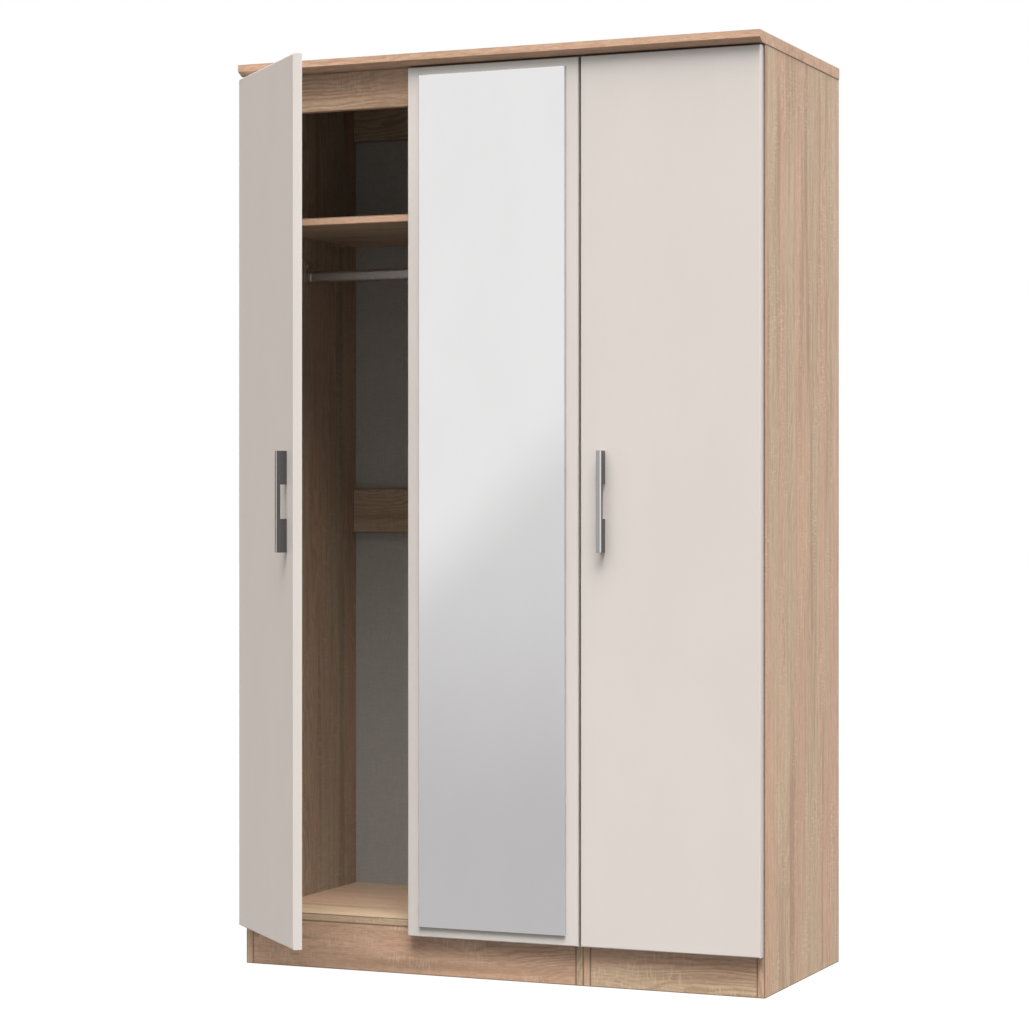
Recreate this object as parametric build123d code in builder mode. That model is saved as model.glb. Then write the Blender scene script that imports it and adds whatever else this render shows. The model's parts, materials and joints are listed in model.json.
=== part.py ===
"""Three-door wardrobe: an oak-foil carcase in two units under one top board, and three overlay doors.

Millimetres, +Z up. The origin is on the floor, midway across, in the plane of the carcase's front
edges. +X is to the right of someone who faces the doors, and +Y runs from the front to the back.
The left door stands open at its rest angle, and the other two doors are shut.
"""

from build123d import *
from dataclasses import dataclass
import math
import os

os.makedirs("parts", exist_ok=True)

# Overall sizes
HEIGHT = 1821.0
DOOR_PITCH = 368.0
CARCASE_WIDTH = 3 * DOOR_PITCH
CARCASE_DEPTH = 486.0
BOARD = 15.0

# Top board
TOP_THICK = 22.0
TOP_FRONT_OVERHANG = 35.0
TOP_END_OVERHANG = 1.2
TOP_CHAMFER_DEEP = 16.0
TOP_CHAMFER_TALL = 8.5

# Boards inside the carcase
PLINTH_TALL = 94.0
TOP_RAIL_TALL = 77.0
MID_RAIL_LOW = 873.0
MID_RAIL_TALL = 95.0
SHELF_LOW = 1494.0
SHELF_SET_BACK = 3.0
SHELF_SIDE_GAP = 0.5
BACK_THICK = 3.0
BACK_SET_IN = 10.0
GROOVE_DEEP = 6.0

# Hanging rail: an oval tube in a socket at each end
RAIL_HEIGHT_ABOVE_FLOOR = 1412.0
RAIL_TALL = 24.0
RAIL_WIDE = 14.0
RAIL_WALL = 1.2
SOCKET_PLATE = 2.5
SOCKET_LONG = 11.0
SOCKET_WALL = 2.0
SOCKET_TAB_RISE = 22.0
SOCKET_TAB_RADIUS = 7.0

# Doors
DOOR_GAP = 5.0
DOOR_WIDE = DOOR_PITCH - DOOR_GAP
DOOR_LOW = 78.3
DOOR_TALL = 1716.7
DOOR_THICK = 18.0
DOOR_STAND_OFF = 2.0
DOOR_ARRIS = 2.5
LEFT_DOOR_OPEN_DEG = 45.0

# Mirror on the middle door
GLASS_WIDE = 310.0
GLASS_TALL = 1680.0
GLASS_THICK = 4.0
GLASS_BEVEL = 0.8
GLASS_ABOVE_DOOR_FOOT = 20.0
TAPE_THICK = 1.0
TAPE_WIDE = 24.0
TAPE_INSET = 30.0
TAPE_PLACES = (-1, 0, 1)

# Bar handle on two long feet
HANDLE_LONG = 196.0
HANDLE_FOOT_LONG = 65.0
HANDLE_WIDE = 11.0
HANDLE_BAR_DEEP = 8.0
HANDLE_GAP_DEEP = 13.0
HANDLE_FROM_FREE_EDGE = 45.0
HANDLE_ROUND = 1.0

# Concealed hinges: a plate and an arm on the side panel, and a cup in the door
HINGE_FROM_DOOR_END = 100.0
CUP_RADIUS = 17.5
CUP_DEEP = 12.5
CUP_WALL = 1.0
CUP_FROM_EDGE = 21.5
FLANGE_THICK = 1.2
FLANGE_WIDE = 20.0
FLANGE_TALL = 62.0
FLANGE_ROUND = 5.0
CUP_SCREW_SPACING = 48.0
PLATE_FROM_FRONT = 37.0
PLATE_THICK = 2.5
PLATE_WIDE = 20.0
PLATE_TALL = 52.0
PLATE_ROUND = 4.0
PLATE_RIDGE_LONG = 36.0
PLATE_RIDGE_WIDE = 12.0
PLATE_SCREW_SPACING = 32.0
ARM_LOW = 6.0
ARM_HIGH = 14.0
ARM_WIDE = 13.0
ARM_REAR = 56.0
ARM_REAR_DROP = 2.0
ARM_NOSE = -9.0
ARM_NOSE_DROP = 1.5
ARM_NOSE_LIFT = 0.5

# Fasteners and small fittings
SCREW_HEAD_RADIUS = 3.8
SCREW_HEAD_THICK = 1.8
SCREW_SHANK_RADIUS = 2.0
SCREW_IN_BOARD = 9.0
HANDLE_SCREW_IN_FOOT = 9.0
HANDLE_SCREW_HOLE_RADIUS = 2.5
DOWEL_RADIUS = 4.0
DOWEL_IN_FACE = 9.0
DOWEL_IN_END = 20.0
PEG_RADIUS = 2.5
PEG_IN_BOARD = 8.0
PEG_OUT = 9.0
CONNECTOR_HEAD_RADIUS = 7.0
CONNECTOR_HEAD_THICK = 1.5
CONNECTOR_SLEEVE_RADIUS = 4.0
CONNECTOR_SCREW_RADIUS = 2.6
BUMPER_RADIUS = 4.0
BUMPER_THICK = 1.8
BUMPER_FROM_FREE_EDGE = 6.5

# Where fasteners stand along the boards they join
SIDE_DOWEL_FROM_FRONT = 60.0
SIDE_DOWEL_FROM_REAR = 70.0
RAIL_DOWEL_SHARES = (0.3, 0.7)
MID_RAIL_DOWEL_SHARES = (0.25, 0.75)
TOP_DOWEL_FROM_FRONT = 50.0
TOP_DOWEL_FROM_REAR = 60.0
PEG_FROM_FRONT = 60.0
PEG_FROM_REAR = 90.0
CONNECTOR_DEPTHS = (80.0, 420.0)
CONNECTOR_HEIGHTS = (300.0, 1600.0)

# Places worked out from the sizes above
UNDER_TOP = HEIGHT - TOP_THICK
FLOOR_BOARD_TOP = PLINTH_TALL + BOARD
LEFT_END = -CARCASE_WIDTH / 2
RIGHT_END = CARCASE_WIDTH / 2
UNIT_JOINT = LEFT_END + 2 * DOOR_PITCH
BACK_FRONT_FACE = CARCASE_DEPTH - BACK_SET_IN - BACK_THICK
REAR_RAIL_FRONT = BACK_FRONT_FACE - BOARD
RAIL_DEPTH = BACK_FRONT_FACE / 2
DOOR_TOP = DOOR_LOW + DOOR_TALL
DOOR_MIDDLE = DOOR_LOW + DOOR_TALL / 2
TOP_RAIL_LOW = UNDER_TOP - TOP_RAIL_TALL
UP = (0, 0, 1)

UNITS = {"left": (LEFT_END, UNIT_JOINT), "right": (UNIT_JOINT, RIGHT_END)}
HINGE_HEIGHTS = (DOOR_LOW + HINGE_FROM_DOOR_END, DOOR_MIDDLE, DOOR_TOP - HINGE_FROM_DOOR_END)


@dataclass
class Door:
    """A door: its back corner at the hinge edge, and the ways across it and out of its front."""

    name: str
    corner: Vector
    across: Vector
    front: Vector
    board_face: float
    inward: int


def swung(name, corner_x, closed_across, open_deg, board_face, inward):
    """A door turned about the upright through its back corner by open_deg from shut."""
    turn = math.radians(open_deg)
    across = Vector(closed_across * math.cos(turn), -math.sin(turn), 0)
    front = Vector(-closed_across * math.sin(turn), -math.cos(turn), 0)
    return Door(name, Vector(corner_x, -DOOR_STAND_OFF, 0), across, front, board_face, inward)


DOORS = (
    swung("left", LEFT_END + DOOR_GAP / 2, 1, LEFT_DOOR_OPEN_DEG, LEFT_END + BOARD, 1),
    swung("mirror", UNIT_JOINT - DOOR_GAP / 2, -1, 0, UNIT_JOINT - BOARD, -1),
    swung("right", RIGHT_END - DOOR_GAP / 2, -1, 0, RIGHT_END - BOARD, -1),
)


def save(piece, label):
    """Names a finished piece and writes its file."""
    piece.part.label = label
    export_step(piece.part, f"parts/{label}.step")


def board(x, y, z, mode=Mode.ADD):
    """A rectangular board in the part being built, between (low, high) limits on each axis."""
    with BuildSketch(Plane.XY.offset(z[0])) as outline:
        with Locations(((x[0] + x[1]) / 2, (y[0] + y[1]) / 2)):
            Rectangle(x[1] - x[0], y[1] - y[0])
    extrude(outline.sketch, amount=z[1] - z[0], mode=mode)


def rod(spot, way, radius, length, mode=Mode.ADD):
    """A round rod, or with Mode.SUBTRACT a round hole, that starts at a point and runs one way."""
    with BuildSketch(Plane(origin=spot, z_dir=way)) as outline:
        Circle(radius)
    extrude(outline.sketch, amount=length, mode=mode)


def on_door(door, across, out, height):
    """A plane that faces out of a door's front, with its X up, at a place given from the corner."""
    spot = door.corner + door.across * across + door.front * out + Vector(0, 0, height)
    return Plane(origin=spot, x_dir=UP, z_dir=door.front)


def on_side(face_x, inward, depth, height, off=0.0):
    """A plane that faces inwards from a side panel's inner face, with its X to the rear."""
    return Plane(origin=(face_x + inward * off, depth, height), x_dir=(0, 1, 0), z_dir=(inward, 0, 0))


def inner_faces(unit):
    """The two inner faces of a unit's sides, each with the way that points into the unit."""
    low, high = UNITS[unit]
    return ((low + BOARD, 1), (high - BOARD, -1))


# Where dowels run from a unit's sides into the ends of its boards, as (depth, height)
FRONT_CENTRE = BOARD / 2
REAR_CENTRE = REAR_RAIL_FRONT + BOARD / 2
DOWEL_DEPTHS = (SIDE_DOWEL_FROM_FRONT, RAIL_DEPTH, CARCASE_DEPTH - SIDE_DOWEL_FROM_REAR)
SIDE_DOWELS = (
    *((depth, PLINTH_TALL + BOARD / 2) for depth in DOWEL_DEPTHS),
    *((FRONT_CENTRE, PLINTH_TALL * share) for share in RAIL_DOWEL_SHARES),
    *((FRONT_CENTRE, TOP_RAIL_LOW + TOP_RAIL_TALL * share) for share in RAIL_DOWEL_SHARES),
    *((REAR_CENTRE, TOP_RAIL_LOW + TOP_RAIL_TALL * share) for share in RAIL_DOWEL_SHARES),
    *((REAR_CENTRE, MID_RAIL_LOW + MID_RAIL_TALL * share) for share in MID_RAIL_DOWEL_SHARES),
)
TOP_DOWEL_DEPTHS = (TOP_DOWEL_FROM_FRONT, CARCASE_DEPTH - TOP_DOWEL_FROM_REAR)
SIDE_CENTRES = tuple(
    face - inward * BOARD / 2 for unit in UNITS for face, inward in inner_faces(unit)
)

# Pegs under each shelf, and the bolts that hold the two units side by side
PEG_DEPTHS = (PEG_FROM_FRONT, CARCASE_DEPTH - PEG_FROM_REAR)
PEG_SPOTS = tuple((depth, SHELF_LOW - PEG_RADIUS) for depth in PEG_DEPTHS)
CONNECTOR_SPOTS = tuple((depth, height) for depth in CONNECTOR_DEPTHS for height in CONNECTOR_HEIGHTS)
SOCKET_SCREW_HEIGHT = RAIL_HEIGHT_ABOVE_FLOOR + SOCKET_TAB_RISE


def side_screw_spots(unit, face):
    """Where screws enter a side panel's inner face: the rail socket's, and any hinge plates'."""
    spots = [(RAIL_DEPTH, SOCKET_SCREW_HEIGHT)]
    for door in DOORS:
        if abs(door.board_face - face) < BOARD / 2:
            for height in HINGE_HEIGHTS:
                spots += [(PLATE_FROM_FRONT, height + k * PLATE_SCREW_SPACING / 2) for k in (-1, 1)]
    return spots


# Side panels: grooved for the back, and bored for dowels, pegs, screws and connectors
for unit in UNITS:
    for face, inward in inner_faces(unit):
        outer = face - inward * BOARD
        with BuildPart() as side_panel:
            board(sorted((face, outer)), (0, CARCASE_DEPTH), (0, UNDER_TOP))
            groove_floor = face - inward * GROOVE_DEEP
            back_slot = (BACK_FRONT_FACE, BACK_FRONT_FACE + BACK_THICK)
            board(sorted((face, groove_floor)), back_slot, (PLINTH_TALL, UNDER_TOP), Mode.SUBTRACT)
            for depth, height in SIDE_DOWELS:
                rod((face, depth, height), (-inward, 0, 0), DOWEL_RADIUS, DOWEL_IN_FACE, Mode.SUBTRACT)
            for depth, height in PEG_SPOTS:
                rod((face, depth, height), (-inward, 0, 0), PEG_RADIUS, PEG_IN_BOARD, Mode.SUBTRACT)
            for depth, height in side_screw_spots(unit, face):
                spot = (face, depth, height)
                rod(spot, (-inward, 0, 0), SCREW_SHANK_RADIUS, SCREW_IN_BOARD, Mode.SUBTRACT)
            for depth in TOP_DOWEL_DEPTHS:
                spot = (face - inward * BOARD / 2, depth, UNDER_TOP - DOWEL_IN_END)
                rod(spot, UP, DOWEL_RADIUS, DOWEL_IN_END, Mode.SUBTRACT)
            if outer == UNIT_JOINT:
                for depth, height in CONNECTOR_SPOTS:
                    spot = (face, depth, height)
                    rod(spot, (-inward, 0, 0), CONNECTOR_SLEEVE_RADIUS, BOARD, Mode.SUBTRACT)
        save(side_panel, f"{unit}_unit_side_{'left' if inward == 1 else 'right'}")


def bored_board(label, unit, y, z, spots):
    """A board between a unit's sides, with a dowel hole in each end at each (depth, height)."""
    low, high = (face for face, _ in inner_faces(unit))
    with BuildPart() as piece:
        board((low, high), y, z)
        for depth, height in spots:
            rod((low, depth, height), (1, 0, 0), DOWEL_RADIUS, DOWEL_IN_END, Mode.SUBTRACT)
            rod((high, depth, height), (-1, 0, 0), DOWEL_RADIUS, DOWEL_IN_END, Mode.SUBTRACT)
    save(piece, label)


# Boards between the sides of each unit
BOARD_BANDS = {
    "bottom": ((0, BACK_FRONT_FACE), (PLINTH_TALL, FLOOR_BOARD_TOP)),
    "plinth": ((0, BOARD), (0, PLINTH_TALL)),
    "front_top_rail": ((0, BOARD), (TOP_RAIL_LOW, UNDER_TOP)),
    "rear_top_rail": ((REAR_RAIL_FRONT, BACK_FRONT_FACE), (TOP_RAIL_LOW, UNDER_TOP)),
    "mid_back_rail": ((REAR_RAIL_FRONT, BACK_FRONT_FACE), (MID_RAIL_LOW, MID_RAIL_LOW + MID_RAIL_TALL)),
}
for unit in UNITS:
    for name, (y, z) in BOARD_BANDS.items():
        inside = [(d, h) for d, h in SIDE_DOWELS if y[0] < d < y[1] and z[0] < h < z[1]]
        bored_board(f"{unit}_unit_{name}", unit, y, z, inside)

# Shelves, backs and hanging rails
for unit in UNITS:
    low, high = (face for face, _ in inner_faces(unit))
    with BuildPart() as shelf:
        across = (low + SHELF_SIDE_GAP, high - SHELF_SIDE_GAP)
        board(across, (SHELF_SET_BACK, BACK_FRONT_FACE), (SHELF_LOW, SHELF_LOW + BOARD))
    save(shelf, f"{unit}_unit_shelf")

    with BuildPart() as back_panel:
        across = (low - GROOVE_DEEP, high + GROOVE_DEEP)
        board(across, (BACK_FRONT_FACE, BACK_FRONT_FACE + BACK_THICK), (PLINTH_TALL, UNDER_TOP))
    save(back_panel, f"{unit}_unit_back")

    with BuildPart() as hanging_rail:
        with BuildSketch(on_side(low, 1, RAIL_DEPTH, RAIL_HEIGHT_ABOVE_FLOOR, SOCKET_PLATE)):
            SlotOverall(RAIL_TALL, RAIL_WIDE, rotation=90)
            offset(amount=-RAIL_WALL, mode=Mode.SUBTRACT)
        extrude(amount=high - low - 2 * SOCKET_PLATE)
    save(hanging_rail, f"{unit}_unit_hanging_rail")

with BuildPart() as rail_sockets:
    for unit in UNITS:
        for face, inward in inner_faces(unit):
            with BuildSketch(on_side(face, inward, RAIL_DEPTH, RAIL_HEIGHT_ABOVE_FLOOR)) as plate:
                SlotOverall(RAIL_TALL + 2 * SOCKET_WALL, RAIL_WIDE + 2 * SOCKET_WALL, rotation=90)
                with Locations((0, inward * SOCKET_TAB_RISE)):
                    Circle(SOCKET_TAB_RADIUS)
                with Locations((0, inward * SOCKET_TAB_RISE / 2)):
                    Rectangle(2 * SOCKET_TAB_RADIUS, SOCKET_TAB_RISE)
                with Locations((0, inward * SOCKET_TAB_RISE)):
                    Circle(SCREW_SHANK_RADIUS, mode=Mode.SUBTRACT)
            extrude(plate.sketch, amount=SOCKET_PLATE)
            cup_plane = on_side(face, inward, RAIL_DEPTH, RAIL_HEIGHT_ABOVE_FLOOR, SOCKET_PLATE)
            with BuildSketch(cup_plane) as cup_ring:
                SlotOverall(RAIL_TALL + 2 * SOCKET_WALL, RAIL_WIDE + 2 * SOCKET_WALL, rotation=90)
                SlotOverall(RAIL_TALL, RAIL_WIDE, rotation=90, mode=Mode.SUBTRACT)
            extrude(cup_ring.sketch, amount=SOCKET_LONG)
save(rail_sockets, "rail_sockets")


def board_screws(spots, seat):
    """Round-headed screws into side panels, each through a fitting seat thick on its inner face."""
    for face, inward, depth, height in spots:
        tip = (face - inward * SCREW_IN_BOARD, depth, height)
        rod(tip, (inward, 0, 0), SCREW_SHANK_RADIUS, SCREW_IN_BOARD + seat)
        head = (face + inward * seat, depth, height)
        rod(head, (inward, 0, 0), SCREW_HEAD_RADIUS, SCREW_HEAD_THICK)


with BuildPart() as rail_socket_screws:
    board_screws(
        [(*side, RAIL_DEPTH, SOCKET_SCREW_HEIGHT) for unit in UNITS for side in inner_faces(unit)],
        SOCKET_PLATE,
    )
save(rail_socket_screws, "rail_socket_screws")

with BuildPart() as shelf_pegs:
    for unit in UNITS:
        for face, inward in inner_faces(unit):
            for depth, height in PEG_SPOTS:
                start = (face - inward * PEG_IN_BOARD, depth, height)
                rod(start, (inward, 0, 0), PEG_RADIUS, PEG_IN_BOARD + PEG_OUT)
save(shelf_pegs, "shelf_pegs")

with BuildPart() as dowels:
    for unit in UNITS:
        for face, inward in inner_faces(unit):
            for depth, height in SIDE_DOWELS:
                start = (face - inward * DOWEL_IN_FACE, depth, height)
                rod(start, (inward, 0, 0), DOWEL_RADIUS, DOWEL_IN_FACE + DOWEL_IN_END)
    for centre in SIDE_CENTRES:
        for depth in TOP_DOWEL_DEPTHS:
            rod((centre, depth, UNDER_TOP - DOWEL_IN_END), UP, DOWEL_RADIUS, DOWEL_IN_END + DOWEL_IN_FACE)
save(dowels, "dowels")

with BuildPart() as connector_sleeves:
    for depth, height in CONNECTOR_SPOTS:
        left_face = UNIT_JOINT - BOARD
        head = (left_face - CONNECTOR_HEAD_THICK, depth, height)
        rod(head, (1, 0, 0), CONNECTOR_HEAD_RADIUS, CONNECTOR_HEAD_THICK)
        rod((left_face, depth, height), (1, 0, 0), CONNECTOR_SLEEVE_RADIUS, 2 * BOARD)
        rod((left_face, depth, height), (1, 0, 0), CONNECTOR_SCREW_RADIUS, 2 * BOARD, Mode.SUBTRACT)
save(connector_sleeves, "unit_connector_sleeves")

with BuildPart() as connector_screws:
    for depth, height in CONNECTOR_SPOTS:
        right_face = UNIT_JOINT + BOARD
        rod((right_face, depth, height), (1, 0, 0), CONNECTOR_HEAD_RADIUS, CONNECTOR_HEAD_THICK)
        rod((right_face, depth, height), (-1, 0, 0), CONNECTOR_SCREW_RADIUS, 2 * BOARD)
save(connector_screws, "unit_connector_screws")

# Top board: one board over both units, with a long shallow chamfer under its front edge
with BuildPart() as top_board:
    ends = (LEFT_END - TOP_END_OVERHANG, RIGHT_END + TOP_END_OVERHANG)
    with BuildSketch(Plane(origin=(ends[0], 0, 0), x_dir=(0, 1, 0), z_dir=(1, 0, 0))) as section:
        with BuildLine():
            Polyline(
                (-TOP_FRONT_OVERHANG, HEIGHT),
                (-TOP_FRONT_OVERHANG, UNDER_TOP + TOP_CHAMFER_TALL),
                (-TOP_FRONT_OVERHANG + TOP_CHAMFER_DEEP, UNDER_TOP),
                (CARCASE_DEPTH, UNDER_TOP),
                (CARCASE_DEPTH, HEIGHT),
                close=True,
            )
        make_face()
    extrude(amount=ends[1] - ends[0])
    for centre in SIDE_CENTRES:
        for depth in TOP_DOWEL_DEPTHS:
            rod((centre, depth, UNDER_TOP), UP, DOWEL_RADIUS, DOWEL_IN_FACE, Mode.SUBTRACT)
save(top_board, "top_board")

# Hinge plates and arms on the side panels
with BuildPart() as hinge_plates:
    for door in DOORS:
        for height in HINGE_HEIGHTS:
            base = on_side(door.board_face, door.inward, PLATE_FROM_FRONT, height)
            with BuildSketch(base) as foot:
                RectangleRounded(PLATE_WIDE, PLATE_TALL, PLATE_ROUND)
                with GridLocations(0, PLATE_SCREW_SPACING, 1, 2):
                    Circle(SCREW_SHANK_RADIUS, mode=Mode.SUBTRACT)
            extrude(foot.sketch, amount=PLATE_THICK)
            with BuildSketch(base) as ridge:
                Rectangle(PLATE_RIDGE_LONG, PLATE_RIDGE_WIDE)
            extrude(ridge.sketch, amount=ARM_LOW)
save(hinge_plates, "hinge_plates")

with BuildPart() as hinge_plate_screws:
    board_screws(
        [
            (door.board_face, door.inward, PLATE_FROM_FRONT, height + side * PLATE_SCREW_SPACING / 2)
            for door in DOORS
            for height in HINGE_HEIGHTS
            for side in (-1, 1)
        ],
        PLATE_THICK,
    )
save(hinge_plate_screws, "hinge_plate_screws")

with BuildPart() as hinge_arms:
    for door in DOORS:
        face, inward = door.board_face, door.inward
        profile = (
            (ARM_LOW, ARM_REAR),
            (ARM_HIGH - ARM_REAR_DROP, ARM_REAR),
            (ARM_HIGH, ARM_REAR / 2),
            (ARM_HIGH, -ARM_NOSE / 2),
            (ARM_HIGH - ARM_NOSE_DROP, ARM_NOSE),
            (ARM_LOW + ARM_NOSE_LIFT, ARM_NOSE),
            (ARM_LOW, 0),
        )
        for height in HINGE_HEIGHTS:
            with BuildSketch(Plane.XY.offset(height - ARM_WIDE / 2)) as outline:
                with BuildLine():
                    Polyline(*((face + inward * off, depth) for off, depth in profile), close=True)
                make_face()
            extrude(outline.sketch, amount=ARM_WIDE)
save(hinge_arms, "hinge_arms")

# Doors, each with its hinge cups, screws and bumpers
HANDLE_ACROSS = DOOR_WIDE - HANDLE_FROM_FREE_EDGE
HANDLE_SCREW_OFFSET = (HANDLE_LONG - HANDLE_FOOT_LONG) / 2
HANDLE_SCREW_HEIGHTS = (DOOR_MIDDLE - HANDLE_SCREW_OFFSET, DOOR_MIDDLE + HANDLE_SCREW_OFFSET)
BUMPER_HEIGHTS = (PLINTH_TALL + BOARD / 2, DOOR_TOP - TOP_RAIL_TALL / 2)

for door in DOORS:
    with BuildPart() as door_panel:
        with BuildSketch(on_door(door, DOOR_WIDE / 2, 0, DOOR_MIDDLE)):
            Rectangle(DOOR_TALL, DOOR_WIDE)
        extrude(amount=DOOR_THICK)
        front_face = door_panel.faces().sort_by(Axis((0, 0, 0), door.front))[-1]
        fillet(front_face.edges(), DOOR_ARRIS)
        for height in HINGE_HEIGHTS:
            spot = on_door(door, CUP_FROM_EDGE, 0, height).origin
            rod(spot, door.front, CUP_RADIUS, CUP_DEEP, Mode.SUBTRACT)
            for side in (-1, 1):
                screw = on_door(door, CUP_FROM_EDGE, 0, height + side * CUP_SCREW_SPACING / 2).origin
                rod(screw, door.front, SCREW_SHANK_RADIUS, SCREW_IN_BOARD, Mode.SUBTRACT)
        if door.name != "mirror":
            for height in HANDLE_SCREW_HEIGHTS:
                spot = on_door(door, HANDLE_ACROSS, 0, height).origin
                rod(spot, door.front, HANDLE_SCREW_HOLE_RADIUS, DOOR_THICK, Mode.SUBTRACT)
    save(door_panel, f"{door.name}_door_panel")

    with BuildPart() as hinge_cups:
        for height in HINGE_HEIGHTS:
            with BuildSketch(on_door(door, CUP_FROM_EDGE, -FLANGE_THICK, height)) as flange:
                RectangleRounded(FLANGE_TALL, FLANGE_WIDE, FLANGE_ROUND)
                Circle(CUP_RADIUS)
                Circle(CUP_RADIUS - CUP_WALL, mode=Mode.SUBTRACT)
                with GridLocations(CUP_SCREW_SPACING, 0, 2, 1):
                    Circle(SCREW_SHANK_RADIUS, mode=Mode.SUBTRACT)
            extrude(flange.sketch, amount=FLANGE_THICK)
            with BuildSketch(on_door(door, CUP_FROM_EDGE, 0, height)) as wall:
                Circle(CUP_RADIUS)
                Circle(CUP_RADIUS - CUP_WALL, mode=Mode.SUBTRACT)
            extrude(wall.sketch, amount=CUP_DEEP)
            floor_spot = on_door(door, CUP_FROM_EDGE, CUP_DEEP - CUP_WALL, height).origin
            rod(floor_spot, door.front, CUP_RADIUS, CUP_WALL)
    save(hinge_cups, f"{door.name}_hinge_cups")

    with BuildPart() as cup_screws:
        for height in HINGE_HEIGHTS:
            for side in (-1, 1):
                place = height + side * CUP_SCREW_SPACING / 2
                tip = on_door(door, CUP_FROM_EDGE, SCREW_IN_BOARD, place).origin
                rod(tip, -door.front, SCREW_SHANK_RADIUS, SCREW_IN_BOARD)
                flush = on_door(door, CUP_FROM_EDGE, 0, place).origin
                rod(flush, -door.front, SCREW_SHANK_RADIUS, FLANGE_THICK)
    save(cup_screws, f"{door.name}_cup_screws")

    with BuildPart() as bumpers:
        for height in BUMPER_HEIGHTS:
            seat = on_door(door, DOOR_WIDE - BUMPER_FROM_FREE_EDGE, 0, height).origin
            rod(seat, -door.front, BUMPER_RADIUS, BUMPER_THICK)
    save(bumpers, f"{door.name}_door_bumpers")

# Bar handles and their screws
for door in DOORS:
    if door.name == "mirror":
        continue
    bar_out = DOOR_THICK + HANDLE_GAP_DEEP
    with BuildPart() as handle:
        with BuildSketch(on_door(door, HANDLE_ACROSS, bar_out, DOOR_MIDDLE)):
            Rectangle(HANDLE_LONG, HANDLE_WIDE)
        extrude(amount=HANDLE_BAR_DEEP)
        for height in HANDLE_SCREW_HEIGHTS:
            with BuildSketch(on_door(door, HANDLE_ACROSS, DOOR_THICK, height)) as foot:
                Rectangle(HANDLE_FOOT_LONG, HANDLE_WIDE)
            extrude(foot.sketch, amount=HANDLE_GAP_DEEP)
        outer_face = handle.faces().sort_by(Axis((0, 0, 0), door.front))[-1]
        fillet(outer_face.edges(), HANDLE_ROUND)
        for height in HANDLE_SCREW_HEIGHTS:
            seat = on_door(door, HANDLE_ACROSS, DOOR_THICK, height).origin
            rod(seat, door.front, SCREW_SHANK_RADIUS, HANDLE_SCREW_IN_FOOT, Mode.SUBTRACT)
    save(handle, f"{door.name}_door_handle")

    with BuildPart() as handle_screws:
        for height in HANDLE_SCREW_HEIGHTS:
            tip = on_door(door, HANDLE_ACROSS, DOOR_THICK + HANDLE_SCREW_IN_FOOT, height).origin
            rod(tip, -door.front, SCREW_SHANK_RADIUS, DOOR_THICK + HANDLE_SCREW_IN_FOOT)
            seat = on_door(door, HANDLE_ACROSS, 0, height).origin
            rod(seat, -door.front, SCREW_HEAD_RADIUS, SCREW_HEAD_THICK)
    save(handle_screws, f"{door.name}_handle_screws")

# Mirror glass, held just off the middle door by strips of foam tape
mirror_door = next(door for door in DOORS if door.name == "mirror")
GLASS_MIDDLE = DOOR_LOW + GLASS_ABOVE_DOOR_FOOT + GLASS_TALL / 2

with BuildPart() as mirror_tape:
    tape_pitch = GLASS_WIDE / 2 - TAPE_INSET
    for place in TAPE_PLACES:
        across = DOOR_WIDE / 2 + place * tape_pitch
        with BuildSketch(on_door(mirror_door, across, DOOR_THICK, GLASS_MIDDLE)) as strip:
            Rectangle(GLASS_TALL - 2 * TAPE_INSET, TAPE_WIDE)
        extrude(strip.sketch, amount=TAPE_THICK)
save(mirror_tape, "mirror_tape")

with BuildPart() as mirror_glass:
    with BuildSketch(on_door(mirror_door, DOOR_WIDE / 2, DOOR_THICK + TAPE_THICK, GLASS_MIDDLE)):
        Rectangle(GLASS_TALL, GLASS_WIDE)
    extrude(amount=GLASS_THICK)
    glass_front = mirror_glass.faces().sort_by(Axis((0, 0, 0), mirror_door.front))[-1]
    chamfer(glass_front.edges(), GLASS_BEVEL)
save(mirror_glass, "mirror_glass")
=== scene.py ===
"""Looks for a three-door wardrobe: oak-foil carcase, gloss doors, a mirror and metal fittings.

Laid out as an add-on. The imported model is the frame, and everything here is placed from it, in metres.
"""

import json
import math

import bpy
import numpy as np
from bpy.props import FloatProperty, FloatVectorProperty, PointerProperty
from mathutils import Matrix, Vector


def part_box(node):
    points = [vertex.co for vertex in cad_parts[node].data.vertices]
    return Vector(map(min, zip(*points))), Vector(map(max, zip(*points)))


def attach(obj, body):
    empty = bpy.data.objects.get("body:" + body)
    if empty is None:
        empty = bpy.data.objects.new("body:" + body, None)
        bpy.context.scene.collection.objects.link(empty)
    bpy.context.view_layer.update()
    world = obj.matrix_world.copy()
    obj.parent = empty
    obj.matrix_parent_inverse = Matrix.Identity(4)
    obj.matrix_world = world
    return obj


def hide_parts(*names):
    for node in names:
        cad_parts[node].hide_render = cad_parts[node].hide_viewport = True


bl_info = {
    "name": "Three-Door Wardrobe",
    "version": (1, 0, 0),
    "blender": (4, 5, 0),
    "location": "3D View > Sidebar > Wardrobe",
    "description": "Finishes and small fittings for a three-door wardrobe",
    "category": "Object",
}

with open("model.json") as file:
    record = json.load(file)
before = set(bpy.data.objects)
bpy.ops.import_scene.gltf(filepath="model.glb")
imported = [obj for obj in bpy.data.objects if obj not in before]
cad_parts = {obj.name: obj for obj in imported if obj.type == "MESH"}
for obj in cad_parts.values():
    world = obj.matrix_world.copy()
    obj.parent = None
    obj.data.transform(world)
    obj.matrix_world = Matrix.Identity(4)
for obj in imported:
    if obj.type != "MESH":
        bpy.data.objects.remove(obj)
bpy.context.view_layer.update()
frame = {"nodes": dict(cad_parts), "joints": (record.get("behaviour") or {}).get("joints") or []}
NODES = frame["nodes"]

MM = 0.001
GLOSSY_LOWEST = 0.02

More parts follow.
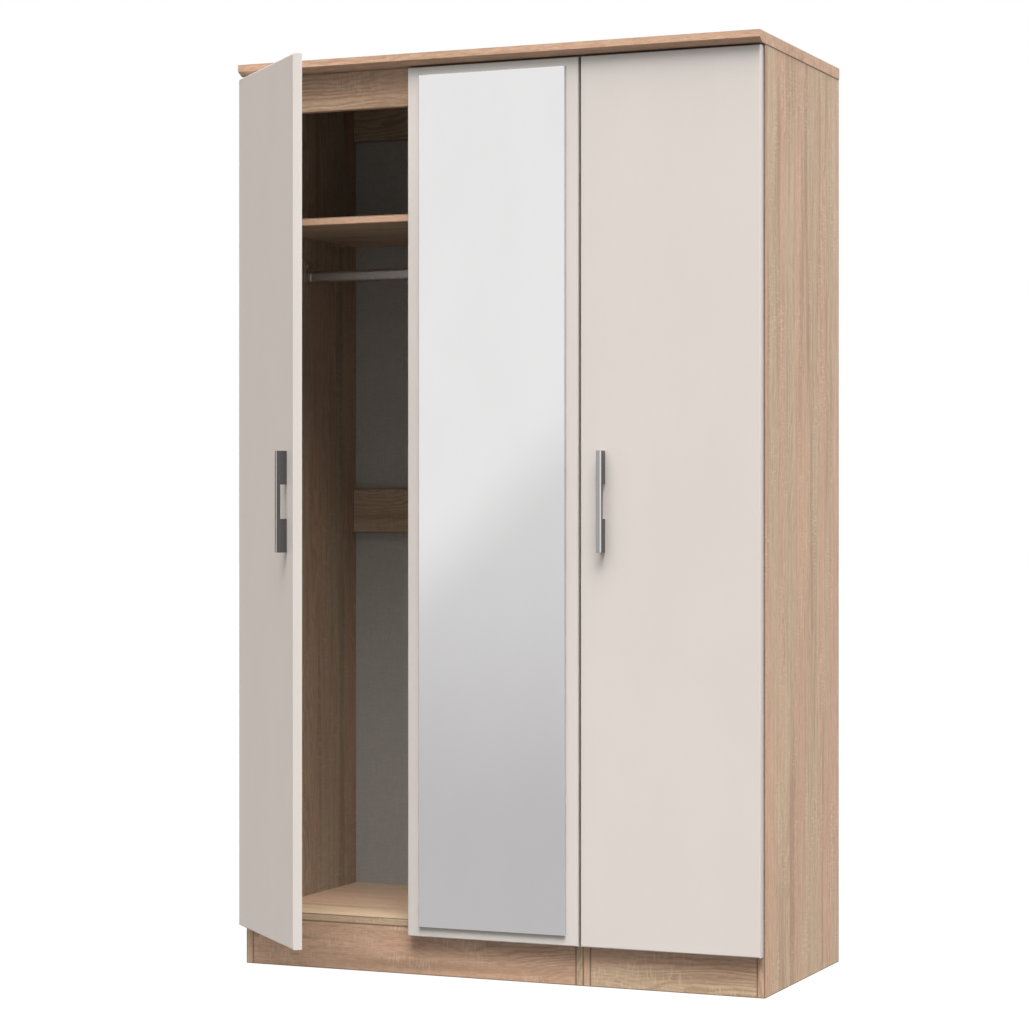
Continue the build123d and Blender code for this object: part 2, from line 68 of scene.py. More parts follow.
# Finishes
SEAM_STARTS = 2.4 * MM
SEAM_FULL = 0.9 * MM
SEAM_COLOUR = (0.120, 0.070, 0.042, 1.0)
SEAM_STRENGTH = 0.75
OAK_IN_BOUNCES = (0.33, 0.325, 0.32, 1.0)
# Painted shade: darkens the top board's upper face, where the light from above falls strongest
UPPER_FACE_PAINTED_SHADE = (0.40, 0.41, 0.44, 1.0)
LINEN_LIGHT = (0.580, 0.525, 0.463, 1.0)
LINEN_DARK = (0.460, 0.412, 0.360, 1.0)
PULP_DARK = (0.235, 0.150, 0.088, 1.0)
PULP_LIGHT = (0.340, 0.232, 0.145, 1.0)
LINEN_RELIEF = 0.15 * MM
FOIL_RELIEF = 0.03 * MM
FOIL_CLOUD = 0.06
FOIL_COAT = 0.20
FOIL_COAT_ON_EDGES = 0.95
FOIL_COAT_ROUGHNESS = 0.12
BACK_ROUGHER_BY = 0.22
SILVER_LIGHT = (0.930, 0.925, 0.925, 1.0)
SILVER_DARK = (0.910, 0.905, 0.905, 1.0)
GROUND_GLASS = (0.480, 0.500, 0.495, 1.0)
BRUSHING_RELIEF = 0.02 * MM
HANDLE_HALF_FLAT = 5.3 * MM
# Painted highlight: a pale stripe along one front arris of each handle, from this far across the bar to the
# flat front's edge
HANDLE_HIGHLIGHT_FROM = 2.7 * MM
HANDLE_PAINTED_HIGHLIGHT = (0.95, 0.94, 0.94, 1.0)
# Painted shade: near-black side faces of each handle
HANDLE_SIDE_PAINTED_SHADE = (0.145, 0.140, 0.140, 1.0)
HANDLE_SMOOTHER_BY = 0.08
SKIN_RELIEF = 0.1 * MM

# Small fittings
SCREW_SPOKES = 40
PIN_SPOKES = 32
THREAD_RINGS = 5
HEAD_RIM_SHARE = 0.3
CROSS_ARM_SHARE = 0.17
CROSS_REACH_SHARE = 0.62
CROSS_DEPTH_SHARE = 0.62
PITCH_SHARE = 0.9
THREAD_DEPTH_SHARE = 0.22
PAN_TALL = 1.8 * MM
FLANGE_HEAD_TALL = 0.7 * MM
FLANGE_HEAD_RADIUS = 3.4 * MM
CONNECTOR_TALL = 1.5 * MM
ADJUSTER_DEPTHS = (9.0 * MM, 22.0 * MM)
ADJUSTER_RADIUS = 3.2 * MM
ADJUSTER_TALL = 0.8 * MM
ADJUSTER_LONG = 4.0 * MM

# Rounded arrises
BOARD_ARRIS = 0.5 * MM
TOP_ARRIS = 0.8 * MM
ARM_ARRIS = 0.9 * MM
PLATE_ARRIS = 0.4 * MM
ARRIS_SEGMENTS = 2
SHARP_FROM = math.radians(50)
JOINED_WITHIN = 0.01 * MM

DOOR_NAMES = ("left", "mirror", "right")
UNIT_NAMES = ("left", "right")


# ---------------------------------------------------------------- settings


class OakFinish(bpy.types.PropertyGroup):
    """Colours and relief of the oak foil."""

    rosy: FloatVectorProperty(
        name="Rosy wood", description="Colour of the pinkish streaks", subtype="COLOR",
        size=4, min=0.0, max=1.0, default=(0.640, 0.400, 0.268, 1.0),
    )
    beige: FloatVectorProperty(
        name="Beige wood", description="Colour of the greenish-beige streaks", subtype="COLOR",
        size=4, min=0.0, max=1.0, default=(0.600, 0.436, 0.285, 1.0),
    )
    tan: FloatVectorProperty(
        name="Tan streaks", description="Colour of the darker long streaks", subtype="COLOR",
        size=4, min=0.0, max=1.0, default=(0.375, 0.228, 0.142, 1.0),
    )
    saw: FloatVectorProperty(
        name="Saw marks", description="Colour of the short marks across the grain", subtype="COLOR",
        size=4, min=0.0, max=1.0, default=(0.760, 0.600, 0.430, 1.0),
    )
    relief: FloatProperty(
        name="Grain relief", description="Depth of the pressed grain", default=0.00022,
        min=0.0, max=0.002, unit="LENGTH", precision=5,
    )


class DoorFinish(bpy.types.PropertyGroup):
    """Colours and gloss of the doors."""

    foil: FloatVectorProperty(
        name="Front foil", description="Colour of the wrapped front and edges", subtype="COLOR",
        size=4, min=0.0, max=1.0, default=(0.680, 0.622, 0.576, 1.0),
    )
    back: FloatVectorProperty(
        name="Door back", description="Colour of the plain melamine back", subtype="COLOR",
        size=4, min=0.0, max=1.0, default=(0.760, 0.740, 0.710, 1.0),
    )
    roughness: FloatProperty(
        name="Foil roughness", description="Roughness of the front foil", default=0.30,
        min=GLOSSY_LOWEST, max=1.0,
    )


class MetalFinish(bpy.types.PropertyGroup):
    """Colours of the handles, the hanging rails and the plated fittings."""

    handle: FloatVectorProperty(
        name="Handles", description="Satin chrome of the bar handles", subtype="COLOR",
        size=4, min=0.0, max=1.0, default=(0.480, 0.475, 0.475, 1.0),
    )
    rail: FloatVectorProperty(
        name="Hanging rail", description="Satin steel of the hanging rails", subtype="COLOR",
        size=4, min=0.0, max=1.0, default=(0.600, 0.590, 0.590, 1.0),
    )
    fitting: FloatVectorProperty(
        name="Fittings", description="Nickel plate on hinges, screws and pegs", subtype="COLOR",
        size=4, min=0.0, max=1.0, default=(0.640, 0.630, 0.610, 1.0),
    )


class StageSettings(bpy.types.PropertyGroup):
    """The studio round the wardrobe."""

    camera_yaw: FloatProperty(
        name="Camera yaw", description="How far the camera is turned to the left", subtype="ANGLE",
        default=math.radians(22.995),
    )
    lens: FloatProperty(
        name="Lens", description="Focal length on a 36 mm sensor, in millimetres", default=100.0, min=10.0,
    )
    ambient: FloatProperty(
        name="Ambient light", description="Strength of the soft light straight from above",
        default=0.50, min=0.0,
    )


class WARDROBE_PG_settings(bpy.types.PropertyGroup):
    """Everything a user would change, in four groups."""

    oak: PointerProperty(type=OakFinish)
    doors: PointerProperty(type=DoorFinish)
    metal: PointerProperty(type=MetalFinish)
    stage: PointerProperty(type=StageSettings)


# ---------------------------------------------------------------- shader building


def feed(tree, socket, value):
    """Joins a socket to another socket, or sets its value."""
    if isinstance(value, bpy.types.NodeSocket):
        tree.links.new(value, socket)
    else:
        socket.default_value = value


def maths(tree, operation, first, second=0.0, clamp=False):
    """A Math node's result."""
    node = tree.nodes.new("ShaderNodeMath")
    node.operation = operation
    node.use_clamp = clamp
    feed(tree, node.inputs[0], first)
    feed(tree, node.inputs[1], second)
    return node.outputs[0]


def mixed(tree, factor, first, second, blend="MIX"):
    """Two colours mixed by a factor."""
    node = tree.nodes.new("ShaderNodeMix")
    node.data_type = "RGBA"
    node.blend_type = blend
    feed(tree, node.inputs[0], factor)
    feed(tree, node.inputs[6], first)
    feed(tree, node.inputs[7], second)
    return node.outputs[2]


def remap(tree, value, low, high, to_low=0.0, to_high=1.0):
    """A value's smooth rise from to_low to to_high between low and high."""
    node = tree.nodes.new("ShaderNodeMapRange")
    node.interpolation_type = "SMOOTHSTEP"
    feed(tree, node.inputs[0], value)
    for index, limit in enumerate((low, high, to_low, to_high), start=1):
        node.inputs[index].default_value = limit
    return node.outputs[0]


def noise(tree, vector, per_metre, detail=2.0, roughness=0.5):
    """Noise with this many features a metre along each axis of the vector."""
    mapping = tree.nodes.new("ShaderNodeMapping")
    feed(tree, mapping.inputs["Vector"], vector)
    mapping.inputs["Scale"].default_value = per_metre
    node = tree.nodes.new("ShaderNodeTexNoise")
    feed(tree, node.inputs["Vector"], mapping.outputs[0])
    node.inputs["Scale"].default_value = 1.0
    node.inputs["Detail"].default_value = detail
    node.inputs["Roughness"].default_value = roughness
    return node.outputs[0]


def new_group(name, inputs, outputs):
    """A shader node group with named sockets, and its input and output nodes."""
    tree = bpy.data.node_groups.new(name, "ShaderNodeTree")
    for label, kind, value in inputs:
        socket = tree.interface.new_socket(label, in_out="INPUT", socket_type=kind)
        if value is not None:
            socket.default_value = value
    for label, kind in outputs:
        tree.interface.new_socket(label, in_out="OUTPUT", socket_type=kind)
    return tree, tree.nodes.new("NodeGroupInput").outputs, tree.nodes.new("NodeGroupOutput").inputs


def placed(tree, group, **values):
    """A group placed in a material, with its inputs fed by name."""
    node = tree.nodes.new("ShaderNodeGroup")
    node.node_tree = group
    for label, value in values.items():
        feed(tree, node.inputs[label.replace("_", " ").title()], value)
    return node.outputs


def object_place(tree, turn=(0.0, 0.0, 0.0), shift=(0.0, 0.0, 0.0)):
    """Object coordinates, turned and shifted."""
    coordinates = tree.nodes.new("ShaderNodeTexCoord")
    mapping = tree.nodes.new("ShaderNodeMapping")
    tree.links.new(coordinates.outputs["Object"], mapping.inputs["Vector"])
    mapping.inputs["Rotation"].default_value = turn
    mapping.inputs["Location"].default_value = shift
    return mapping.outputs[0]


def new_material(name):
    """A material with an empty Principled surface: its tree and its shader."""
    material = bpy.data.materials.new(name)
    material.use_nodes = True
    tree = material.node_tree
    return material, tree, tree.nodes["Principled BSDF"]


def bumped(tree, shader, height, depth):
    """Feeds a shader's normal from a height that is depth metres from 0 to 1."""
    bump = tree.nodes.new("ShaderNodeBump")
    bump.inputs["Strength"].default_value = 1.0
    bump.inputs["Distance"].default_value = depth
    tree.links.new(height, bump.inputs["Height"])
    tree.links.new(bump.outputs[0], shader.inputs["Normal"])


def vector_maths(tree, operation, first, second=None):
    """A Vector Math node's vector result."""
    node = tree.nodes.new("ShaderNodeVectorMath")
    node.operation = operation
    feed(tree, node.inputs[0], first)
    if second is not None:
        feed(tree, node.inputs[1], second)
    return node.outputs[0]


def axes(tree, vector):
    """A vector's X, Y and Z."""
    node = tree.nodes.new("ShaderNodeSeparateXYZ")
    tree.links.new(vector, node.inputs[0])
    return node.outputs


def along_way(tree, place, way, start):
    """How far a place lies past start along a unit way."""
    product = tree.nodes.new("ShaderNodeVectorMath")
    product.operation = "DOT_PRODUCT"
    tree.links.new(place, product.inputs[0])
    product.inputs[1].default_value = way
    return maths(tree, "SUBTRACT", product.outputs["Value"], start)


def shade_of(colour, share):
    """A colour with its three channels scaled by a share."""
    return [channel * share for channel in colour[:3]] + [1.0]


def dress(piece, material):
    """Gives a piece one material in place of any that it has."""
    piece.data.materials.clear()
    piece.data.materials.append(material)


# ---------------------------------------------------------------- shared effects

COLOUR, VALUE, VECTOR = "NodeSocketColor", "NodeSocketFloat", "NodeSocketVector"


def sawn_oak_group():
    """Sawn oak with its grain along Z: streaks, growth lines, fibres, pores and marks across the grain."""
    group, given, result = new_group(
        "Sawn Oak",
        [
            ("Vector", VECTOR, None), ("Rosy", COLOUR, None), ("Beige", COLOUR, None),
            ("Tan", COLOUR, None), ("Saw", COLOUR, None), ("Figure", VALUE, 0.5), ("Sawn", VALUE, 0.5),
        ],
        [("Color", COLOUR), ("Roughness", VALUE), ("Height", VALUE)],
    )
    place = given["Vector"]
    broad = noise(group, place, (12, 12, 0.6), 2.0)
    deep = noise(group, place, (26, 26, 1.3), 2.0)
    medium = noise(group, place, (90, 90, 5.0), 3.0, 0.6)
    fibre = noise(group, place, (380, 380, 46), 3.0, 0.65)
    pores = noise(group, place, (560, 560, 70), 2.0, 0.5)

    # Growth lines: bands across the grain, pushed about until they close into feathers
    x, y, _ = axes(group, place)
    evenly = maths(group, "MULTIPLY", maths(group, "ADD", x, y), 620.0)
    pushed = maths(group, "MULTIPLY", noise(group, place, (9, 9, 2.6), 3.0, 0.5), 85.0)
    lines = remap(group, maths(group, "SINE", maths(group, "ADD", evenly, pushed)), -0.4, 1.0)
    patch = remap(group, noise(group, place, (6, 6, 1.5), 1.0), 0.40, 0.54)
    figure = maths(group, "MULTIPLY", maths(group, "MULTIPLY", lines, patch), given["Figure"])

    # Saw marks: short pale ticks across the grain, in patches
    ticks = remap(group, noise(group, place, (46, 46, 260), 2.0, 0.6), 0.48, 0.66)
    worked = remap(group, noise(group, place, (16, 16, 5.0), 2.0, 0.6), 0.44, 0.68)
    marks = maths(group, "MULTIPLY", maths(group, "MULTIPLY", ticks, worked), given["Sawn"])

    base = mixed(group, remap(group, broad, 0.44, 0.56), given["Rosy"], given["Beige"])
    base = mixed(group, remap(group, deep, 0.52, 0.70, 0.0, 0.70), base, given["Tan"])
    streaked = mixed(group, remap(group, medium, 0.42, 0.72, 0.0, 0.34), base, given["Tan"])
    lined = mixed(group, maths(group, "MULTIPLY", figure, 0.75, clamp=True), streaked, given["Tan"])
    thread = mixed(group, remap(group, fibre, 0.46, 0.70, 0.0, 0.50), lined, given["Tan"])
    pale = mixed(group, remap(group, fibre, 0.44, 0.26, 0.0, 0.40), thread, given["Saw"])
    lit = mixed(group, maths(group, "MULTIPLY", marks, 0.65, clamp=True), pale, given["Saw"])
    pored = mixed(group, remap(group, pores, 0.60, 0.76, 0.0, 0.35), lit, given["Tan"], "MULTIPLY")
    group.links.new(pored, result["Color"])

    group.links.new(remap(group, medium, 0.3, 0.7, 0.40, 0.54), result["Roughness"])
    raised = maths(group, "MULTIPLY", marks, 0.30)
    relief = maths(group, "ADD", maths(group, "MULTIPLY", fibre, -0.45), raised)
    sunk = maths(group, "SUBTRACT", relief, remap(group, pores, 0.60, 0.76, 0.0, 0.5))
    group.links.new(sunk, result["Height"])
    return group


def edge_band_group():
    """A board's edge bands: 1 close to its arrises.

    On a box's face the nearest side's distance is nothing, so the distance to the nearest arris is the
    middle one of the three distances to the sides: their sum less the smallest and the greatest.
    """
    group, given, result = new_group(
        "Edge Band",
        [("Vector", VECTOR, None), ("Middle", VECTOR, None), ("Half", VECTOR, None)],
        [("Mask", VALUE)],
    )
    away = vector_maths(group, "SUBTRACT", given["Vector"], given["Middle"])
    inset = vector_maths(group, "SUBTRACT", given["Half"], vector_maths(group, "ABSOLUTE", away))
    x, y, z = axes(group, inset)
    total = maths(group, "ADD", maths(group, "ADD", x, y), z)
    least = maths(group, "MINIMUM", maths(group, "MINIMUM", x, y), z)
    most = maths(group, "MAXIMUM", maths(group, "MAXIMUM", x, y), z)
    nearest = maths(group, "SUBTRACT", maths(group, "SUBTRACT", total, least), most)
    group.links.new(remap(group, nearest, SEAM_STARTS, SEAM_FULL), result["Mask"])
    return group


def linen_group():
    """A printed linen weave in the XZ plane: slubby threads both ways."""
    group, given, result = new_group(
        "Linen Print",
        [("Vector", VECTOR, None), ("Light", COLOUR, None), ("Dark", COLOUR, None)],
        [("Color", COLOUR), ("Height", VALUE)],
    )
    place = given["Vector"]
    upright = noise(group, place, (1100, 1100, 60), 2.0, 0.6)
    level = noise(group, place, (60, 60, 1100), 2.0, 0.6)
    cloud = noise(group, place, (5, 5, 5), 2.0)
    weave = maths(group, "MULTIPLY", maths(group, "ADD", upright, level), 0.5)
    shade = mixed(group, remap(group, weave, 0.34, 0.66), given["Dark"], given["Light"])
    faded = mixed(group, remap(group, cloud, 0.3, 0.7, 0.0, 0.25), shade, given["Dark"])
    group.links.new(faded, result["Color"])
    group.links.new(weave, result["Height"])
    return group


def brushed_group():
    """Fine brushing along Z: a shade, a roughness and a height."""
    group, given, result = new_group(
        "Brushing",
        [("Vector", VECTOR, None)],
        [("Shade", VALUE), ("Roughness", VALUE), ("Height", VALUE)],
    )
    lines = noise(group, given["Vector"], (2600, 2600, 22), 3.0, 0.6)
    cloud = noise(group, given["Vector"], (60, 60, 14), 2.0)
    group.links.new(remap(group, lines, 0.25, 0.75, 0.0, 0.22), result["Shade"])
    uneven = maths(group, "ADD", lines, cloud)
    group.links.new(remap(group, uneven, 0.7, 1.3, 0.24, 0.38), result["Roughness"])
    group.links.new(lines, result["Height"])
    return group


def handling_group():
    """Faint cloudiness of a wiped surface: a value about 0 to 1, and a fine uneven height."""
    group, given, result = new_group(
        "Handling",
        [("Vector", VECTOR, None)],
        [("Cloud", VALUE), ("Height", VALUE)],
    )
    cloud = noise(group, given["Vector"], (6, 6, 3), 4.0, 0.55)
    peel = noise(group, given["Vector"], (260, 260, 260), 2.0, 0.5)
    group.links.new(remap(group, cloud, 0.3, 0.7), result["Cloud"])
    group.links.new(peel, result["Height"])
    return group


GROUP_MAKERS = {
    "Sawn Oak": sawn_oak_group,
    "Edge Band": edge_band_group,
    "Linen Print": linen_group,
    "Brushing": brushed_group,
    "Handling": handling_group,
}


def shared(name):
    """A shared effect, made the first time that it is asked for."""
    return bpy.data.node_groups.get(name) or GROUP_MAKERS[name]()


# ---------------------------------------------------------------- materials

UPRIGHT = (0.0, 0.0, 0.0)
LEVEL = (0.0, math.radians(90), 0.0)
FRONT_TO_BACK = (math.radians(90), 0.0, 0.0)


def oak(name, node, turn, shift, figure, sawn, seam=SEAM_STRENGTH, is_top=False):
    """Oak foil with its grain turned one way, from its own place in the print, and darker at its seams.

    The top board is rosy all through, and its upper face carries painted shade that darkens it against the
    strong light from above.
    """
    finish = bpy.context.scene.wardrobe.oak
    material, tree, shader = new_material(name)
    place = object_place(tree)
    grain = placed(
        tree, shared("Sawn Oak"), vector=object_place(tree, turn, shift), rosy=finish.rosy,
        beige=finish.rosy if is_top else finish.beige, tan=finish.tan, saw=finish.saw,
        figure=figure, sawn=sawn,
    )
    low, high = (np.array(corner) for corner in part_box(node))
    edges = placed(
        tree, shared("Edge Band"), vector=place, middle=(low + high) / 2, half=(high - low) / 2,
    )
    colour = mixed(tree, maths(tree, "MULTIPLY", edges["Mask"], seam), grain["Color"], SEAM_COLOUR)
    if is_top:
        # Painted shade on the top board's upper face, multiplied over the oak's colour
        above = maths(tree, "GREATER_THAN", axes(tree, place)[2], float(high[2]) - 0.1 * MM)
        colour = mixed(tree, above, colour, UPPER_FACE_PAINTED_SHADE, "MULTIPLY")
    bounced = tree.nodes.new("ShaderNodeLightPath").outputs["Is Diffuse Ray"]
    tree.links.new(mixed(tree, bounced, colour, OAK_IN_BOUNCES), shader.inputs["Base Color"])
    tree.links.new(grain["Roughness"], shader.inputs["Roughness"])
    bumped(tree, shader, grain["Height"], finish.relief)
    return material


def linen_back(name, front_y):
    """Linen print on the face towards the room, and plain brown hardboard behind front_y."""
    material, tree, shader = new_material(name)
    place = object_place(tree)
    weave = placed(tree, shared("Linen Print"), vector=place, light=LINEN_LIGHT, dark=LINEN_DARK)
    behind = maths(tree, "GREATER_THAN", axes(tree, place)[1], front_y + 0.5 * MM)
    pulp = remap(tree, noise(tree, place, (160, 160, 160), 4.0, 0.7), 0.3, 0.7)
    board = mixed(tree, pulp, PULP_DARK, PULP_LIGHT)
    tree.links.new(mixed(tree, behind, weave["Color"], board), shader.inputs["Base Color"])
    shader.inputs["Roughness"].default_value = 0.72
    bumped(tree, shader, weave["Height"], LINEN_RELIEF)
    return material


def door_foil(name, back_point, front_way):
    """Satin gloss foil over a door's front, glossier on its upright edges, and melamine on its back."""
    finish = bpy.context.scene.wardrobe.doors
    material, tree, shader = new_material(f"Gloss foil, {name} door")
    place = object_place(tree)
    wiped = placed(tree, shared("Handling"), vector=place)
    depth = along_way(tree, place, front_way, float(np.dot(back_point, front_way)))
    is_back = maths(tree, "LESS_THAN", depth, 0.2 * MM)
    foil = mixed(tree, wiped["Cloud"], finish.foil, shade_of(finish.foil, 0.975))
    tree.links.new(mixed(tree, is_back, foil, finish.back), shader.inputs["Base Color"])
    sheen = maths(tree, "ADD", maths(tree, "MULTIPLY", wiped["Cloud"], FOIL_CLOUD), finish.roughness)
    duller = maths(tree, "MULTIPLY", is_back, BACK_ROUGHER_BY)
    tree.links.new(maths(tree, "ADD", sheen, duller), shader.inputs["Roughness"])
    middle, half_wide = span_across(f"{name}_door_panel", front_way)
    aside = maths(tree, "ABSOLUTE", along_way(tree, place, way_across(front_way), middle))
    is_edge = maths(tree, "GREATER_THAN", aside, half_wide - 0.8 * MM)
    more = maths(tree, "MULTIPLY", is_edge, FOIL_COAT_ON_EDGES - FOIL_COAT)
    tree.links.new(maths(tree, "ADD", more, FOIL_COAT), shader.inputs["Coat Weight"])
    shader.inputs["Coat Roughness"].default_value = FOIL_COAT_ROUGHNESS
    bumped(tree, shader, wiped["Height"], FOIL_RELIEF)
    return material


def silvered_glass(front_y):
    """Mirror: a silvered sheet with faint wiping, and grey ground edges behind front_y."""
    material, tree, shader = new_material("Silvered glass")
    place = object_place(tree)
    wiped = placed(tree, shared("Handling"), vector=place)
    tint = mixed(tree, wiped["Cloud"], SILVER_LIGHT, SILVER_DARK)
    edge = maths(tree, "GREATER_THAN", axes(tree, place)[1], front_y + 0.1 * MM)
    tree.links.new(mixed(tree, edge, tint, GROUND_GLASS), shader.inputs["Base Color"])
    tree.links.new(maths(tree, "SUBTRACT", 1.0, edge), shader.inputs["Metallic"])
    haze = maths(tree, "ADD", maths(tree, "MULTIPLY", wiped["Cloud"], 0.015), GLOSSY_LOWEST)
    ground = maths(tree, "ADD", haze, maths(tree, "MULTIPLY", edge, 0.25))
    tree.links.new(ground, shader.inputs["Roughness"])
    return material


def brushed_metal(name, colour, turn):
    """Satin metal brushed one way."""
    material, tree, shader = new_material(name)
    brushing = placed(tree, shared("Brushing"), vector=object_place(tree, turn))
    shaded = mixed(tree, brushing["Shade"], list(colour), shade_of(colour, 0.72))
    tree.links.new(shaded, shader.inputs["Base Color"])
    tree.links.new(brushing["Roughness"], shader.inputs["Roughness"])
    shader.inputs["Metallic"].default_value = 1.0
    bumped(tree, shader, brushing["Height"], BRUSHING_RELIEF)
    return material


def chrome_bar(door, front_way):
    """A handle's satin chrome, with a painted highlight along one front arris and painted shade on its side
    faces.
    """
    colour = bpy.context.scene.wardrobe.metal.handle
    material, tree, shader = new_material(f"Satin chrome, {door} handle")
    place = object_place(tree)
    brushing = placed(tree, shared("Brushing"), vector=place)
    middle, _ = span_across(f"{door}_door_handle", front_way)
    aside = along_way(tree, place, way_across(front_way), middle)
    # Painted shade on the bar's side faces, and a painted highlight along one front arris, both set by
    # place across the bar
    is_shaded_side = maths(tree, "GREATER_THAN", maths(tree, "ABSOLUTE", aside), HANDLE_HALF_FLAT)
    is_painted_highlight = maths(tree, "GREATER_THAN", aside, HANDLE_HIGHLIGHT_FROM)
    satin = mixed(tree, brushing["Shade"], list(colour), shade_of(colour, 0.80))
    front = mixed(tree, is_painted_highlight, satin, HANDLE_PAINTED_HIGHLIGHT)
    tree.links.new(mixed(tree, is_shaded_side, front, HANDLE_SIDE_PAINTED_SHADE), shader.inputs["Base Color"])
    smoother = maths(tree, "SUBTRACT", brushing["Roughness"], HANDLE_SMOOTHER_BY)
    tree.links.new(smoother, shader.inputs["Roughness"])
    shader.inputs["Metallic"].default_value = 1.0
    bumped(tree, shader, brushing["Height"], BRUSHING_RELIEF)
    return material


def soft_plastic(name, colour, roughness):
    """Moulded plastic, rubber or foam with a fine uneven skin."""
    material, tree, shader = new_material(name)
    wiped = placed(tree, shared("Handling"), vector=object_place(tree))
    clouded = mixed(tree, wiped["Cloud"], list(colour), shade_of(colour, 0.85))
    tree.links.new(clouded, shader.inputs["Base Color"])
    shader.inputs["Roughness"].default_value = roughness
    bumped(tree, shader, wiped["Height"], SKIN_RELIEF)
    return material


# ---------------------------------------------------------------- surfaces


def add_piece(name, shape, body, material):
    """A smooth mesh piece from a shape's points, quads and triangles, riding on a body."""
    points, quads, triangles = shape
    mesh = bpy.data.meshes.new(name)
    mesh.from_pydata(points.tolist(), [], quads.tolist() + triangles.tolist())
    mesh.polygons.foreach_set("use_smooth", np.ones(len(mesh.polygons), bool))
    mesh.update()
    piece = bpy.data.objects.new(name, mesh)
    bpy.context.scene.collection.objects.link(piece)
    dress(piece, material)
    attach(piece, body)
    return piece


def turned(radius, height):
    """A closed surface of revolution: ring i, spoke j at (r cos t, r sin t, h), with t = 2 pi j / spokes.

    The radius and height are arrays of rings by spokes, from the top ring down. One point closes each end.
    """
    rings, spokes = radius.shape
    angle = np.arange(spokes) * 2 * np.pi / spokes
    ring_points = np.stack([radius * np.cos(angle), radius * np.sin(angle), height], axis=-1).reshape(-1, 3)
    ends = [[0.0, 0.0, height[0].mean()], [0.0, 0.0, height[-1].mean()]]
    points = np.concatenate([ring_points, ends])
    ring, spoke = np.meshgrid(np.arange(rings - 1), np.arange(spokes), indexing="ij")
    after = (spoke + 1) % spokes
    below = (ring + 1) * spokes
    quads = np.stack([ring * spokes + spoke, below + spoke, below + after, ring * spokes + after], axis=-1)
    here, beyond = np.arange(spokes), (np.arange(spokes) + 1) % spokes
    last = (rings - 1) * spokes
    top = np.stack([np.full(spokes, rings * spokes), here, beyond], axis=-1)
    bottom = np.stack([np.full(spokes, rings * spokes + 1), last + beyond, last + here], axis=-1)
    return points, quads.reshape(-1, 4), np.concatenate([top, bottom])


def profiled(profile, spokes):
    """A turned shape whose every spoke has the same profile of (radius, height) pairs."""
    radius, height = np.asarray(profile, float).T
    return turned(np.repeat(radius[:, None], spokes, axis=1), np.repeat(height[:, None], spokes, axis=1))


def screw_shape(head_radius, head_tall, shank_radius, shank_long, spokes=SCREW_SPOKES):
    """A pan-head screw seated at height 0, with a cross recess and a thread.

    The head is a squashed circle above its rim: height = tall (rim + (1 - rim) sqrt(1 - (r/R)^2)). The
    recess lowers it by a depth that is full inside either arm of a cross and fades at the arms' sides and
    ends. The shank's radius swings between core and crest as a triangle wave of
    height / pitch - angle / full turn.
    """
    share = np.concatenate([np.linspace(0.06, 0.66, 9), np.linspace(0.74, 1.0, 7)])
    head_r = np.repeat((share * head_radius)[:, None], spokes, axis=1)
    rise = HEAD_RIM_SHARE + (1 - HEAD_RIM_SHARE) * np.sqrt(np.clip(1 - share**2, 0, 1))
    dome = head_tall * rise
    head_h = np.repeat(dome[:, None], spokes, axis=1)
    angle = np.arange(spokes) * 2 * np.pi / spokes
    beside = head_r * np.minimum(np.abs(np.cos(angle)), np.abs(np.sin(angle)))
    arm = CROSS_ARM_SHARE * head_radius
    inside = np.clip((arm - beside) / (0.45 * arm) + 0.5, 0, 1)
    reach = np.clip((CROSS_REACH_SHARE * head_radius - head_r) / (0.12 * head_radius), 0, 1)
    head_h = head_h - CROSS_DEPTH_SHARE * head_tall * inside * reach

    pitch = PITCH_SHARE * shank_radius
    down = np.linspace(0.0, shank_long, max(8, int(shank_long / pitch * THREAD_RINGS)))
    turn = (down[:, None] / pitch - angle / (2 * np.pi)) % 1.0
    crest = 1 - np.abs(2 * turn - 1)
    fade = np.clip(down / pitch, 0, 1) * np.clip((shank_long - down) / pitch, 0, 1)
    shank_r = shank_radius * (1 - THREAD_DEPTH_SHARE * (1 - crest) * fade[:, None])
    shank_r = shank_r * np.clip(0.25 + (shank_long - down) / (1.5 * pitch), 0, 1)[:, None]
    shank_h = np.repeat(-down[:, None], spokes, axis=1)
    rim_r, rim_h = np.full((1, spokes), head_radius), np.zeros((1, spokes))
    return turned(np.concatenate([head_r, rim_r, shank_r]), np.concatenate([head_h, rim_h, shank_h]))


def way_frame(way):
    """Three unit columns, the last one along way and the first one level."""
    along = np.asarray(way, float) / np.linalg.norm(way)
    side = np.cross((0.0, 0.0, 1.0), along)
    if np.linalg.norm(side) < 1e-6:
        side = np.array([1.0, 0.0, 0.0])
    side = side / np.linalg.norm(side)
    return np.stack([side, np.cross(along, side), along], axis=1)


def gathered(shapes):
    """Several shapes as one."""
    counts = np.cumsum([0] + [len(points) for points, _, _ in shapes])
    return tuple(
        np.concatenate([shape[part] + (counts[index] if part else 0) for index, shape in enumerate(shapes)])
        for part in range(3)
    )


def stood(shape, spot, way):
    """A shape moved so that its height runs along way from spot."""
    points, quads, triangles = shape
    return np.asarray(spot) + points @ way_frame(way).T, quads, triangles


